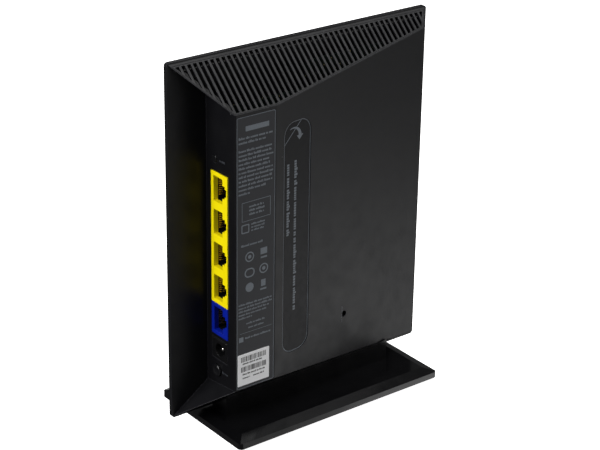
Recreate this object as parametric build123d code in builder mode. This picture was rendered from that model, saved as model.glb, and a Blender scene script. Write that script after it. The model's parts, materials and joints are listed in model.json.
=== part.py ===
from build123d import *

import math
import os

os.makedirs("parts", exist_ok=True)

# A desktop wireless router that stands upright in a weighted foot. Its frame: +Z up, front panel
# towards -Y, port bay on the +X side, origin on the table under the middle of the stand.

# ------------------------------------------------------------------ driving dimensions, mm
# Body
panel_width = 144.0
panel_height = 170.0
panel_corner = 1.6
front_edge = 2.0          # thickness of the front cover
flange = 1.0              # rear cover's flange, behind the front cover
rim = 0.8                 # flat border of the flange around the sloping sides
housing_depth = 24.6      # front face to rear face
wall = 2.0                # rear cover's wall
top_drop = 21.1           # fall of the top slope, from the panel's top to the rear face
bottom_rise = 16.7        # rise of the bottom slope, from the panel's foot to the rear face
rear_flat = 22.0          # port face to the fold in the rear face
thin_end_inset = 7.5      # panel's far side to the thin end of the housing
thin_end_depth = 10.5     # front face to the rear face at the thin end
edge_round = 0.5

# Port bay
bay_width = 20.0          # panel's port side to the port face
bay_floor_rise = 14.4     # bay's floor above the panel's foot, where it meets the port face
bay_ceiling_drop = 17.5   # bay's ceiling below the panel's top, where it meets the port face

# Stand
stand_width = 117.0
stand_depth = 62.7
stand_height = 4.4
stand_edge = 2.9          # height of the plate's upright edge
stand_bevel = 5.6         # width of the long edges' bevels
stand_side_bevel = 4.9    # width of the short edges' bevels
stand_corner = 2.0
stand_top_wall = 1.4
stand_rim = 5.0
stand_gap = 0.15
panel_lift = 1.1          # stand's top to the panel's foot
panel_setback = 25.4      # stand's front edge to the panel's front face
foot_proud = 0.8
foot_sunk = 0.5
foot_radius = 5.0
foot_bevel = 0.3
foot_inset = 12.0         # stand's edges to the feet's middles
bottom_cover = 1.4
weight_thickness = 1.5
weight_side_gap = 11.0    # pocket's ends to the weight
weight_edge_gap = 7.7     # pocket's long sides to the weight
stand_boss = 2.6
stand_boss_inset = 3.6    # pocket's edges to the bosses' middles
stand_screw_head = 2.2
stand_screw_head_height = 0.8
neck_width = 95.5
neck_shift = 2.2          # neck's middle, towards the port side
neck_front = 0.5          # neck's front face behind the flange
neck_depth = 10.9
neck_wall = 2.0
neck_gap = 0.2
tongue_width = 16.0
tongue_thickness = 3.0
tongue_spacing = 72.0
tongue_bevel = 0.8
tongue_set = 2.6          # tongue's front face behind the neck's front face
tongue_top = 12.6         # tongue's top above the panel's foot
neck_screw_spacing = 24.0
neck_screw_head = 2.6
neck_screw_head_height = 1.2
neck_screw_bite = 3.4
neck_screw_clearance = 0.6

# Main board and what stands on it
board_gap = 3.4           # front cover to the board
board_thickness = 1.6
board_end_gap = 12.0      # housing's thin end to the board
board_rise = 15.5         # panel's foot to the board's lower edge
board_drop = 24.5         # panel's top to the board's upper edge
board_edge_gap = 0.4      # port face's inside to the board
board_corner = 1.0

# Sockets; heights are above the panel's foot
jack_pitch = 15.75
jack_count = 4
jack_height = 12.2        # above the board
jack_depth = 21.0
jack_proud = 0.4
wan_rise = 40.15
lan_rise = wan_rise + jack_pitch
plug_width = 11.9
plug_height = 6.6
plug_depth = 14.0
plug_wall = 1.9           # block's board side to the plug opening
latch_width = 6.2
latch_height = 1.8
key_width = 3.6
key_height = 1.1
contact_count = 8
contact_pitch = 1.02
contact_width = 0.46
contact_thickness = 0.35
contact_start = 2.7       # socket's mouth to the contacts' near end
contact_end = 9.0         # socket's mouth to the end of their slope
contact_lift = 2.6
liner_back = 2.4          # socket's mouth to its liner
liner_share = 0.36        # of the plastic between two plugs
liner_latch_wall = 0.3
liner_end = 0.8
window_gap = 0.15         # port face's windows around the sockets

dc_rise = 33.0
dc_width = 10.4
dc_height = 11.2
dc_depth = 14.4
dc_bore = 6.4
dc_axis = 6.0             # bore's axis above the board
dc_bore_depth = 9.5
dc_bevel = 0.4
dc_pin = 2.0
dc_pin_round = 0.8
dc_pin_back = 1.2         # pin's tip behind the mouth
spring_width = 2.4
spring_slot = 0.9
spring_thickness = 0.3
spring_sag = 1.1
spring_bend_back = 3.2    # socket's face to the spring's bend
spring_tip_back = 1.6

# Buttons
power_rise = 22.2
power_axis = 4.2          # above the board
power_radius = 2.8
power_dish = 0.5          # depth of the dish in the button's face
power_proud = 1.2
power_travel = 1.5
power_gap = 0.25
power_stem = 1.5
power_switch = 7.0
power_switch_height = 6.6
power_switch_back = 6.0   # port face to the switch
plunger_width = 2.0
plunger_length = 5.0
plunger_proud = 2.0
plunger_gap = 0.2
wps_gap_above = 5.9       # sockets' top to the button's middle
wps_rise = lan_rise + jack_count * jack_pitch + wps_gap_above
wps_axis = 2.4
wps_radius = 1.7
wps_proud = 0.4
wps_travel = 0.5
wps_gap = 0.2
wps_switch_width = 6.0
wps_switch_depth = 3.6
wps_switch_height = 4.4
wps_switch_back = 5.0
wps_plunger = 0.8
wps_plunger_length = 2.0
wps_plunger_proud = 0.9
wps_stem = 1.0
collar_lip = 0.5
collar_thickness = 0.8
collar_gap = 0.2
button_round = 0.5
reset_along = 45.9        # fold to the pinhole, along the slanting face
reset_rise = 33.4
reset_hole = 1.5
tact_side = 6.0
tact_height = 3.6
tact_plunger = 1.7
tact_plunger_length = 3.0
tact_plunger_proud = 1.6
reset_travel = 0.3
tact_gap = 0.15

# Vent grille in the top slope
slot_pitch = 2.93
slot_width = 1.85
slot_margin = 1.2         # slope's outline to the slots
slot_top_margin = 1.8
grille_thickness = 0.9
grille_ledge = 0.7
grille_gap = 0.1

# Labels
label_width = 20.6
label_bottom = 17.1       # above the panel's foot
label_drop = 22.4         # panel's top to the label's top
label_side = 0.7          # port face to the label
label_thickness = 0.25
label_corner = 0.8
label_gap = 0.05
sticker_width = 17.4
sticker_height = 15.8
sticker_thickness = 0.12
sticker_rise = 1.6        # label's foot to the sticker's
sticker_shift = 1.1       # label's middle to the sticker's, towards the port side
film_along = 13.1         # fold to the film's middle, along the slanting face
film_width = 16.8
film_bottom = 26.4
film_drop = 31.0          # panel's top to the film's top
film_corner = 6.4
film_thickness = 0.2
film_recess = 0.5
keyhole_inset = 16.3      # film's ends to the keyholes' middles
keyhole_head = 4.0
keyhole_neck = 2.1
keyhole_drop = 6.0

# Fasteners
boss_radius = 3.2
screw_radius = 1.25
screw_hole = 1.4
screw_pilot = 1.3
screw_head = 2.3
screw_head_height = 1.5
screw_well = 2.6
screw_seat = 2.0          # plastic under the screw's head
screw_skin = 1.2          # front cover left under the pilot hole
screw_tip_gap = 0.3
recess_span = 1.4         # shares of the head's radius
recess_arm = 0.3
label_screw_shift = 0.5   # label's middle to the upper screw
label_screw_drop = 34.3
label_screw_side = 16.4   # port face to the lower screw
label_screw_rise = 24.0
film_screw_inset = 17.0   # keyholes to the screws between them

# Front cover's locating rib, light windows and light guide
lip_gap = 0.3
lip_wall = 1.2
lip_height = 1.6
front_bevel = 0.9
light_count = 8
light_pitch = 8.0
light_rise = 17.0
light_width = 3.6
light_height = 1.2
light_gap = 0.05
guide_thickness = 1.4
guide_height = 4.0
led_height = 0.8
led_size = 1.6

# Packages on the board; each size is along the board, then up it
processor_side = 17.0
processor_height = 1.2
pad_side = 15.0
pad_height = 0.5
pad_bevel = 0.1
sink_side = 30.0
sink_base = 1.6
sink_fin = 1.0
sink_fins = 9
sink_gap = 0.3            # fins to the rear wall
chip_height = 1.1
switch_side = 12.0
memory_size = (11.0, 18.0)
flash_size = (6.0, 8.0)
flash_height = 1.6
transformer_width = 7.0
transformer_height = 4.2
transformer_gap = 1.8
lan_transformer_length = 15.0
wan_transformer_length = 12.0
inductor_side = 6.5
inductor_height = 3.2
inductor_bevel = 0.6
crystal_size = (3.2, 5.0)
crystal_height = 1.0
low_shield_size = (20.0, 30.0)
high_shield_size = (26.0, 22.0)
shield_height = 2.4
shield_bevel = 0.3
capacitor_radius = 4.0
capacitor_height = 9.0
capacitor_round = 0.5
package_bevel = 0.2

# Antennas
antenna_thickness = 0.8
antenna_length = 46.0
antenna_width = 8.0
antenna_drop = 15.5       # panel's top to the top antenna's middle
antenna_middle = -22.0
side_antenna_drop = 60.0  # panel's top to the side antenna's middle
antenna_end_gap = 5.6     # housing's thin end to the side antenna's middle
antenna_pad = 5.0
lead_radius = 0.6
lead_bend = 3.6
lead_clearance = 5.0      # plugs to what stands beside them
lead_plug_radius = 1.5
lead_plug_height = 1.3

# ------------------------------------------------------------------ places worked out from them
stand_bottom = foot_proud
stand_top = stand_bottom + stand_height
panel_bottom = stand_top + panel_lift
panel_top = panel_bottom + panel_height
panel_middle = panel_bottom + panel_height / 2
panel_front = panel_setback - stand_depth / 2
parting = panel_front + front_edge
flange_back = parting + flange
rear_face = panel_front + housing_depth
side = panel_width / 2
edge = side - rim
port_face = side - bay_width
port_inside = port_face - wall
fold_x = port_face - rear_flat
thin_x = thin_end_inset - side
thin_y = panel_front + thin_end_depth
board_front = parting + board_gap
board_rear = board_front + board_thickness
board_right = port_inside - board_edge_gap
board_left = thin_x + board_end_gap
board_bottom = panel_bottom + board_rise
board_top = panel_top - board_drop
board_length = board_right - board_left
board_height = board_top - board_bottom
board_middle = ((board_left + board_right) / 2, (board_bottom + board_top) / 2)
pocket_top = stand_top - stand_top_wall
socket_face = port_face + jack_proud

bottom_slope = (bottom_rise - rim) / (rear_face - flange_back)
top_slope = (top_drop - rim) / (rear_face - flange_back)
slant = math.atan2(rear_face - thin_y, fold_x - thin_x)


def across(y):
    """Upright plane across the object: local x is +X, local y is +Z, and it faces -Y."""
    return Plane.XZ.offset(-y)


def port_plane(x):
    """Upright plane that faces +X: local x is +Y and local y is +Z."""
    return Plane.YZ.offset(x)


def slant_face(depth=0.0):
    """Slanting rear face, sunk by depth: local x runs from the fold to the thin end, local y is +Z."""
    face = Plane(
        origin=(fold_x, rear_face, 0),
        x_dir=(thin_x - fold_x, thin_y - rear_face, 0),
        z_dir=(-math.sin(slant), math.cos(slant), 0),
    )
    return face.offset(-depth)


def slope_plane(depth=0.0):
    """Top slope, sunk by depth: local x is +X and local y runs down the slope."""
    lean = math.atan(top_slope)
    face = Plane(
        origin=(0, flange_back, panel_top - rim),
        x_dir=(1, 0, 0),
        z_dir=(0, math.sin(lean), math.cos(lean)),
    )
    return face.offset(-depth)


def housing_form(inset):
    """Solid of the rear housing without its bay, with its sides and rear moved in by inset."""
    front = parting - inset
    with BuildPart() as form:
        with BuildSketch(Plane.XY.offset(panel_bottom)):
            with BuildLine():
                Polyline(
                    (edge, front),
                    (edge, flange_back),
                    (port_face, rear_face),
                    (fold_x, rear_face),
                    (thin_x, thin_y),
                    (-edge, flange_back),
                    (-edge, front),
                    close=True,
                )
            make_face()
            if inset:
                offset(amount=-inset, kind=Kind.INTERSECTION)
        extrude(amount=panel_height)
        with BuildSketch(Plane.YZ):
            with BuildLine():
                Polyline(
                    (front, panel_bottom + rim),
                    (flange_back, panel_bottom + rim),
                    (rear_face, panel_bottom + bottom_rise),
                    (rear_face, panel_top - top_drop),
                    (flange_back, panel_top - rim),
                    (front, panel_top - rim),
                    close=True,
                )
            make_face()
            if inset:
                offset(amount=-inset, kind=Kind.INTERSECTION)
        extrude(amount=panel_width, both=True, mode=Mode.INTERSECT)
    return form.part


def bay_facet(outer_z, inner_z, rear_z, upwards):
    """Plane of the bay's floor or ceiling, through the panel's corner and the port face's ends."""
    corner = Vector(edge, flange_back, outer_z)
    inner = Vector(port_face, flange_back, inner_z) - corner
    rear = Vector(port_face, rear_face, rear_z) - corner
    normal = rear.cross(inner)
    if (normal.Z > 0) != upwards:
        normal = normal * -1
    return Plane(origin=corner, x_dir=inner, z_dir=normal)


def bay_form(grow):
    """Space of the port bay between its sloping floor and ceiling, grown on every side."""
    floor = bay_facet(
        panel_bottom + rim, panel_bottom + bay_floor_rise, panel_bottom + bottom_rise, True
    )
    ceiling = bay_facet(panel_top - rim, panel_top - bay_ceiling_drop, panel_top - top_drop, False)
    with BuildPart() as bay:
        with BuildSketch(Plane.XY.offset(panel_bottom)):
            with Locations((port_face - grow, flange_back - grow)):
                Rectangle(panel_width, stand_depth, align=(Align.MIN, Align.MIN))
        extrude(amount=panel_height)
        split(bisect_by=floor.offset(-grow), keep=Keep.TOP)
        split(bisect_by=ceiling.offset(-grow), keep=Keep.TOP)
    return bay.part


def cavity_form(inset):
    """Space inside the housing, with a wall of the given thickness left all round."""
    with BuildPart() as cavity:
        add(housing_form(inset))
        add(bay_form(inset), mode=Mode.SUBTRACT)
    return cavity.part


def slope_outline(margin, top_margin):
    """Face with the top slope's outline, moved in by margin, and by top_margin along its top."""
    lean = math.cos(math.atan(top_slope))
    full = (rear_face - flange_back) / lean
    thin = (thin_y - flange_back) / lean
    with BuildSketch() as outline:
        with BuildLine():
            Polyline(
                (edge, 0), (port_face, full), (fold_x, full), (thin_x, thin), (-edge, 0), close=True
            )
        make_face()
        offset(amount=-margin, kind=Kind.INTERSECTION)
        Rectangle(
            2 * panel_width, 2 * top_margin, align=(Align.CENTER, Align.CENTER), mode=Mode.SUBTRACT
        )
    return outline.sketch


label_height = panel_height - label_bottom - label_drop
film_height = panel_height - film_bottom - film_drop
keyhole_spacing = film_height - 2 * keyhole_inset
label_middle = (
    port_face - label_side - label_width / 2,
    panel_bottom + label_bottom + label_height / 2,
)
film_middle = (film_along, panel_bottom + film_bottom + film_height / 2)
# Screws that hold the two covers together, through the board: two under the label, two under the film
film_x = fold_x - film_along * math.cos(slant)
screw_spots = [
    (label_middle[0] + label_screw_shift, panel_top - label_screw_drop),
    (port_face - label_screw_side, panel_bottom + label_screw_rise),
    (film_x, film_middle[1] - keyhole_spacing / 2 + film_screw_inset),
    (film_x, film_middle[1] + keyhole_spacing / 2 - film_screw_inset),
]
reset_x = fold_x - reset_along * math.cos(slant)
reset_z = panel_bottom + reset_rise
power_spot = (board_rear + power_axis, panel_bottom + power_rise)
wps_spot = (board_rear + wps_axis, panel_bottom + wps_rise)
dc_spot = (board_rear + dc_axis, panel_bottom + dc_rise)
light_middle = (0, panel_bottom + light_rise)
top_antenna_spot = (antenna_middle, panel_top - antenna_drop)
side_antenna_spot = (thin_x + antenna_end_gap, panel_top - side_antenna_drop)
tongue_front = flange_back + neck_front + tongue_set
tongue_middle = tongue_front + tongue_thickness / 2

# ================================================================== rear cover
with BuildPart() as rear_cover:
    add(housing_form(0))
    add(bay_form(0), mode=Mode.SUBTRACT)
    corners = rear_cover.edges().filter_by(Axis.Z).filter_by_position(
        Axis.Y, rear_face - 1e-3, rear_face + 1e-3
    )
    rear_rims = rear_cover.edges().group_by(Axis.Y)[-1].filter_by(Axis.X)
    fillet(corners.sort_by(Axis.X)[-1:] + rear_rims, radius=edge_round)
    with BuildSketch(across(parting)):
        with Locations((0, panel_middle)):
            RectangleRounded(panel_width, panel_height, panel_corner)
    extrude(amount=-flange)
    add(cavity_form(wall), mode=Mode.SUBTRACT)

    # Columns from the rear wall to the board, with a well for each screw's head
    with BuildSketch(across(board_rear)):
        with Locations(screw_spots):
            Circle(boss_radius)
    extrude(until=Until.NEXT, dir=(0, 1, 0))
    with BuildSketch(across(board_rear + screw_seat)):
        with Locations(screw_spots):
            Circle(screw_well)
    extrude(amount=-housing_depth, mode=Mode.SUBTRACT)
    with BuildSketch(across(board_rear)):
        with Locations(screw_spots):
            Circle(screw_hole)
    extrude(amount=-housing_depth, mode=Mode.SUBTRACT)

    # Windows in the port face
    with BuildSketch(port_plane(port_inside)):
        with Locations((board_rear - window_gap, panel_bottom + wan_rise - window_gap)):
            Rectangle(
                jack_height + 2 * window_gap,
                (jack_count + 1) * jack_pitch + 2 * window_gap,
                align=(Align.MIN, Align.MIN),
            )
        with Locations((board_rear + dc_height / 2, dc_spot[1])):
            Rectangle(dc_height + 2 * window_gap, dc_width + 2 * window_gap)
        with Locations(power_spot):
            Circle(power_radius + power_gap)
        with Locations(wps_spot):
            Circle(wps_radius + wps_gap)
    extrude(amount=bay_width, mode=Mode.SUBTRACT)

    # Grille's opening in the top slope, with a ledge for the insert
    with BuildSketch(slope_plane()):
        add(slope_outline(slot_margin - grille_ledge, slot_top_margin - grille_ledge))
    extrude(amount=-grille_thickness, mode=Mode.SUBTRACT)
    with BuildSketch(slope_plane()):
        add(slope_outline(slot_margin, slot_top_margin))
    extrude(amount=-(wall + edge_round), mode=Mode.SUBTRACT)

    # Recesses for the label and the film, keyholes under the film, and the reset pinhole
    with BuildSketch(across(rear_face)):
        with Locations(label_middle):
            RectangleRounded(label_width, label_height, label_corner)
    extrude(amount=label_thickness, mode=Mode.SUBTRACT)
    with BuildSketch(slant_face()):
        with Locations(film_middle):
            RectangleRounded(film_width, film_height, film_corner)
    extrude(amount=-film_recess, mode=Mode.SUBTRACT)
    with BuildSketch(slant_face(film_recess)):
        with Locations(film_middle):
            with GridLocations(0, keyhole_spacing, 1, 2):
                Circle(keyhole_head)
                with Locations((0, keyhole_drop / 2)):
                    SlotCenterToCenter(keyhole_drop, 2 * keyhole_neck, rotation=90)
    extrude(amount=-(wall + edge_round), mode=Mode.SUBTRACT)
    with BuildSketch(across(rear_face)):
        with Locations((reset_x, reset_z)):
            Circle(reset_hole)
    extrude(amount=rear_face - board_rear - tact_height, mode=Mode.SUBTRACT)

    # Slots in the bottom slope for the stand's tongues
    with BuildSketch(Plane.XY.offset(panel_bottom)):
        with Locations((0, tongue_middle)):
            with GridLocations(tongue_spacing, 0, 2, 1):
                Rectangle(tongue_width + 2 * neck_gap, tongue_thickness + 2 * neck_gap)
    extrude(amount=tongue_top + neck_gap, mode=Mode.SUBTRACT)
rear_cover.part.label = "rear_cover"
export_step(rear_cover.part, "parts/rear_cover.step")

# ================================================================== front cover
with BuildPart() as front_cover:
    with BuildSketch(across(parting)):
        with Locations((0, panel_middle)):
            RectangleRounded(panel_width, panel_height, panel_corner)
    extrude(amount=front_edge)
    chamfer(front_cover.faces().sort_by(Axis.Y)[0].edges(), length=front_bevel)

    # Rib that locates it inside the rear cover
    with BuildPart(mode=Mode.PRIVATE) as lip:
        add(cavity_form(wall + lip_gap))
        add(cavity_form(wall + lip_gap + lip_wall), mode=Mode.SUBTRACT)
        split(bisect_by=across(parting + lip_height), keep=Keep.TOP)
    add(lip.part)

    # Posts under the board, and pads under the antennas
    with BuildSketch(across(parting)):
        with Locations(screw_spots):
            Circle(boss_radius)
    extrude(amount=-board_gap)
    with BuildSketch(across(parting)):
        with Locations(top_antenna_spot):
            with GridLocations(antenna_length - antenna_pad, 0, 2, 1):
                Rectangle(antenna_pad, antenna_width)
        with Locations(side_antenna_spot):
            with GridLocations(0, antenna_length - antenna_pad, 1, 2):
                Rectangle(antenna_width, antenna_pad)
    extrude(amount=-(board_gap + board_thickness - antenna_thickness))

    # Pilot holes for the screws, and windows for the status lights
    with BuildSketch(across(board_front)):
        with Locations(screw_spots):
            Circle(screw_pilot)
    extrude(amount=board_gap + front_edge - screw_skin, mode=Mode.SUBTRACT)
    with BuildSketch(across(parting)):
        with Locations(light_middle):
            with GridLocations(light_pitch, 0, light_count, 1):
                SlotOverall(light_width, light_height)
    extrude(amount=front_edge, mode=Mode.SUBTRACT)
front_cover.part.label = "front_cover"
export_step(front_cover.part, "parts/front_cover.step")

with BuildPart() as light_guide:
    with BuildSketch(across(parting)):
        with Locations(light_middle):
            Rectangle((light_count - 1) * light_pitch + guide_height, guide_height)
    extrude(amount=-guide_thickness)
    with BuildSketch(across(parting)):
        with Locations(light_middle):
            with GridLocations(light_pitch, 0, light_count, 1):
                SlotOverall(light_width - 2 * light_gap, light_height - 2 * light_gap)
    extrude(amount=front_edge)
light_guide.part.label = "light_guide"
export_step(light_guide.part, "parts/light_guide.step")

# ================================================================== vent grille
with BuildPart() as vent_grille:
    with BuildSketch(slope_plane(grille_thickness)):
        add(
            slope_outline(
                slot_margin - grille_ledge + grille_gap, slot_top_margin - grille_ledge + grille_gap
            )
        )
    extrude(amount=grille_thickness)
    bar_count = 2 * math.ceil(panel_width / slot_pitch / 2)
    with BuildSketch(slope_plane(grille_thickness)):
        add(slope_outline(slot_margin, slot_top_margin))
        with GridLocations(slot_pitch, 0, bar_count, 1):
            Rectangle(slot_pitch - slot_width, panel_height, mode=Mode.SUBTRACT)
    extrude(amount=grille_thickness, mode=Mode.SUBTRACT)
vent_grille.part.label = "vent_grille"
export_step(vent_grille.part, "parts/vent_grille.step")

# ================================================================== labels
with BuildPart() as rating_label:
    with BuildSketch(across(rear_face - label_thickness)):
        with Locations(label_middle):
            RectangleRounded(
                label_width - 2 * label_gap, label_height - 2 * label_gap, label_corner
            )
    extrude(amount=-label_thickness)
rating_label.part.label = "rating_label"
export_step(rating_label.part, "parts/rating_label.step")

sticker_middle = (
    label_middle[0] + sticker_shift,
    panel_bottom + label_bottom + sticker_rise + sticker_height / 2,
)
with BuildPart() as serial_sticker:
    with BuildSketch(across(rear_face)):
        with Locations(sticker_middle):
            RectangleRounded(sticker_width, sticker_height, label_corner / 2)
    extrude(amount=-sticker_thickness)
serial_sticker.part.label = "serial_sticker"
export_step(serial_sticker.part, "parts/serial_sticker.step")

with BuildPart() as wall_mount_film:
    with BuildSketch(slant_face(film_recess)):
        with Locations(film_middle):
            RectangleRounded(
                film_width - 2 * label_gap, film_height - 2 * label_gap, film_corner - label_gap
            )
    extrude(amount=film_thickness)
wall_mount_film.part.label = "wall_mount_film"
export_step(wall_mount_film.part, "parts/wall_mount_film.step")

# ================================================================== main board
with BuildPart() as main_board:
    with BuildSketch(across(board_front)):
        with Locations(board_middle):
            RectangleRounded(board_length, board_height, board_corner)
        with Locations(screw_spots):
            Circle(screw_hole, mode=Mode.SUBTRACT)
    extrude(amount=-board_thickness)
main_board.part.label = "main_board"
export_step(main_board.part, "parts/main_board.step")


# ================================================================== network sockets
liner_wall = liner_share * (jack_pitch - plug_width) / 2
liner_width = plug_width + 2 * liner_wall
liner_height = plug_height + latch_height + key_height + liner_wall + liner_latch_wall


def plug_outline():
    """Opening for a plug, with its latch's steps away from the board."""
    Rectangle(plug_height, plug_width, align=(Align.MIN, Align.CENTER))
    with Locations((plug_height, 0)):
        Rectangle(latch_height, latch_width, align=(Align.MIN, Align.CENTER))
    with Locations((plug_height + latch_height, 0)):
        Rectangle(key_height, key_width, align=(Align.MIN, Align.CENTER))


def socket_block(bottom, count):
    """Moulded block of count sockets, with the latch's side away from the board."""
    middle = bottom + count * jack_pitch / 2
    with BuildPart() as block:
        with BuildSketch(port_plane(socket_face - jack_depth)):
            with Locations((board_rear, bottom)):
                Rectangle(jack_height, count * jack_pitch, align=(Align.MIN, Align.MIN))
        extrude(amount=jack_depth)
        with BuildSketch(port_plane(socket_face)):
            with Locations((board_rear + plug_wall, middle)):
                with GridLocations(0, jack_pitch, 1, count):
                    plug_outline()
        extrude(amount=-liner_back, mode=Mode.SUBTRACT)
        with BuildSketch(port_plane(socket_face - liner_back)):
            with Locations((board_rear + plug_wall - liner_wall, middle)):
                with GridLocations(0, jack_pitch, 1, count):
                    Rectangle(liner_height, liner_width, align=(Align.MIN, Align.CENTER))
        extrude(amount=liner_back - plug_depth - liner_end, mode=Mode.SUBTRACT)
    return block


def socket_liners(bottom, count):
    """Dark sleeve inside each socket, closed at its far end, which the contacts stand on."""
    middle = bottom + count * jack_pitch / 2
    with BuildPart() as liners:
        with BuildSketch(port_plane(socket_face - liner_back)):
            with Locations((board_rear + plug_wall - liner_wall, middle)):
                with GridLocations(0, jack_pitch, 1, count):
                    Rectangle(liner_height, liner_width, align=(Align.MIN, Align.CENTER))
        extrude(amount=liner_back - plug_depth - liner_end)
        with BuildSketch(port_plane(socket_face - liner_back)):
            with Locations((board_rear + plug_wall, middle)):
                with GridLocations(0, jack_pitch, 1, count):
                    plug_outline()
        extrude(amount=liner_back - plug_depth, mode=Mode.SUBTRACT)
    return liners


def socket_contacts(bottom, count):
    """Sprung contact wires, which rise from each socket's board side and run on into its back wall."""
    foot = board_rear + plug_wall
    near = socket_face - contact_start
    far = socket_face - contact_end
    back = socket_face - plug_depth
    with BuildPart() as contacts:
        for socket in range(count):
            for number in range(contact_count):
                shift = (number - (contact_count - 1) / 2) * contact_pitch
                middle = bottom + (socket + 0.5) * jack_pitch + shift
                with BuildSketch(Plane.XY.offset(middle - contact_width / 2)):
                    with BuildLine():
                        Polyline(
                            (near, foot),
                            (far, foot + contact_lift),
                            (back, foot + contact_lift),
                            (back, foot + contact_lift + contact_thickness),
                            (far, foot + contact_lift + contact_thickness),
                            (near, foot + contact_thickness),
                            close=True,
                        )
                    make_face()
                extrude(amount=contact_width)
    return contacts


lan_jack_block = socket_block(panel_bottom + lan_rise, jack_count)
lan_jack_block.part.label = "lan_jack_block"
export_step(lan_jack_block.part, "parts/lan_jack_block.step")

lan_jack_liners = socket_liners(panel_bottom + lan_rise, jack_count)
lan_jack_liners.part.label = "lan_jack_liners"
export_step(lan_jack_liners.part, "parts/lan_jack_liners.step")

lan_jack_contacts = socket_contacts(panel_bottom + lan_rise, jack_count)
lan_jack_contacts.part.label = "lan_jack_contacts"
export_step(lan_jack_contacts.part, "parts/lan_jack_contacts.step")

wan_jack = socket_block(panel_bottom + wan_rise, 1)
wan_jack.part.label = "wan_jack"
export_step(wan_jack.part, "parts/wan_jack.step")

wan_jack_liner = socket_liners(panel_bottom + wan_rise, 1)
wan_jack_liner.part.label = "wan_jack_liner"
export_step(wan_jack_liner.part, "parts/wan_jack_liner.step")

wan_jack_contacts = socket_contacts(panel_bottom + wan_rise, 1)
wan_jack_contacts.part.label = "wan_jack_contacts"
export_step(wan_jack_contacts.part, "parts/wan_jack_contacts.step")

# ================================================================== power inlet
with BuildPart() as dc_jack_housing:
    with BuildSketch(port_plane(socket_face - dc_depth)):
        with Locations((board_rear + dc_height / 2, dc_spot[1])):
            Rectangle(dc_height, dc_width)
    extrude(amount=dc_depth)
    chamfer(dc_jack_housing.faces().sort_by(Axis.X)[-1].edges(), length=dc_bevel)
    with BuildSketch(port_plane(socket_face)):
        with Locations(dc_spot):
            Circle(dc_bore / 2)
        with Locations((dc_spot[0] + dc_bore / 2 + spring_slot, dc_spot[1])):
            Rectangle(dc_bore / 2 + spring_slot, spring_width, align=(Align.MAX, Align.CENTER))
    extrude(amount=-dc_bore_depth, mode=Mode.SUBTRACT)
dc_jack_housing.part.label = "dc_jack_housing"
export_step(dc_jack_housing.part, "parts/dc_jack_housing.step")

with BuildPart() as dc_jack_pin:
    with BuildSketch(port_plane(socket_face - dc_bore_depth)):
        with Locations(dc_spot):
            Circle(dc_pin / 2)
    extrude(amount=dc_bore_depth - dc_pin_back)
    fillet(dc_jack_pin.faces().sort_by(Axis.X)[-1].edges(), radius=dc_pin_round)
dc_jack_pin.part.label = "dc_jack_pin"
export_step(dc_jack_pin.part, "parts/dc_jack_pin.step")

with BuildPart() as dc_jack_spring:
    spring_outer = dc_spot[0] + dc_bore / 2 + spring_slot
    spring_back = socket_face - dc_bore_depth
    spring_bend = socket_face - spring_bend_back
    spring_tip = socket_face - spring_tip_back
    with BuildSketch(Plane.XY.offset(dc_spot[1] - spring_width / 3)):
        with BuildLine():
            Polyline(
                (spring_back, spring_outer),
                (spring_bend, spring_outer - spring_sag),
                (spring_tip, spring_outer - spring_thickness),
                (spring_tip, spring_outer),
                (spring_bend, spring_outer - spring_sag + spring_thickness),
                (spring_back + spring_thickness, spring_outer),
                close=True,
            )
        make_face()
    extrude(amount=2 * spring_width / 3)
dc_jack_spring.part.label = "dc_jack_spring"
export_step(dc_jack_spring.part, "parts/dc_jack_spring.step")


# ================================================================== buttons and their switches
def push_button(spot, radius, proud, stem_radius, stem_end):
    """Round cap with a collar behind the port face and a stem to its switch."""
    collar_front = port_inside - collar_gap
    with BuildPart() as button:
        with BuildSketch(port_plane(collar_front - collar_thickness)):
            with Locations(spot):
                Circle(radius + collar_lip)
        extrude(amount=collar_thickness)
        with BuildSketch(port_plane(collar_front)):
            with Locations(spot):
                Circle(radius)
        extrude(amount=port_face + proud - collar_front)
        fillet(button.faces().sort_by(Axis.X)[-1].edges(), radius=min(button_round, proud / 2))
        with BuildSketch(port_plane(stem_end)):
            with Locations(spot):
                Circle(stem_radius)
        extrude(amount=collar_front - collar_thickness - stem_end)
    return button


power_switch_face = port_face - power_switch_back
with BuildPart() as power_switch_body:
    with BuildSketch(port_plane(power_switch_face - power_switch)):
        with Locations((board_rear, power_spot[1])):
            Rectangle(power_switch_height, power_switch, align=(Align.MIN, Align.CENTER))
    extrude(amount=power_switch)
    with BuildSketch(port_plane(power_switch_face)):
        with Locations(power_spot):
            Rectangle(plunger_width + 2 * plunger_gap, plunger_width + 2 * plunger_gap)
    extrude(
        amount=-(plunger_length - plunger_proud + power_travel + plunger_gap), mode=Mode.SUBTRACT
    )
power_switch_body.part.label = "power_switch_body"
export_step(power_switch_body.part, "parts/power_switch_body.step")

power_plunger_tip = power_switch_face + plunger_proud
with BuildPart() as power_switch_plunger:
    with BuildSketch(port_plane(power_plunger_tip)):
        with Locations(power_spot):
            Rectangle(plunger_width, plunger_width)
    extrude(amount=-plunger_length)
power_switch_plunger.part.label = "power_switch_plunger"
export_step(power_switch_plunger.part, "parts/power_switch_plunger.step")

power_button = push_button(power_spot, power_radius, power_proud, power_stem, power_plunger_tip)
with power_button:
    dish_radius = ((power_radius - button_round) ** 2 + power_dish**2) / (2 * power_dish)
    with Locations((port_face + power_proud + dish_radius - power_dish, *power_spot)):
        Sphere(dish_radius, mode=Mode.SUBTRACT)
power_button.part.label = "power_button"
export_step(power_button.part, "parts/power_button.step")

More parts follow.
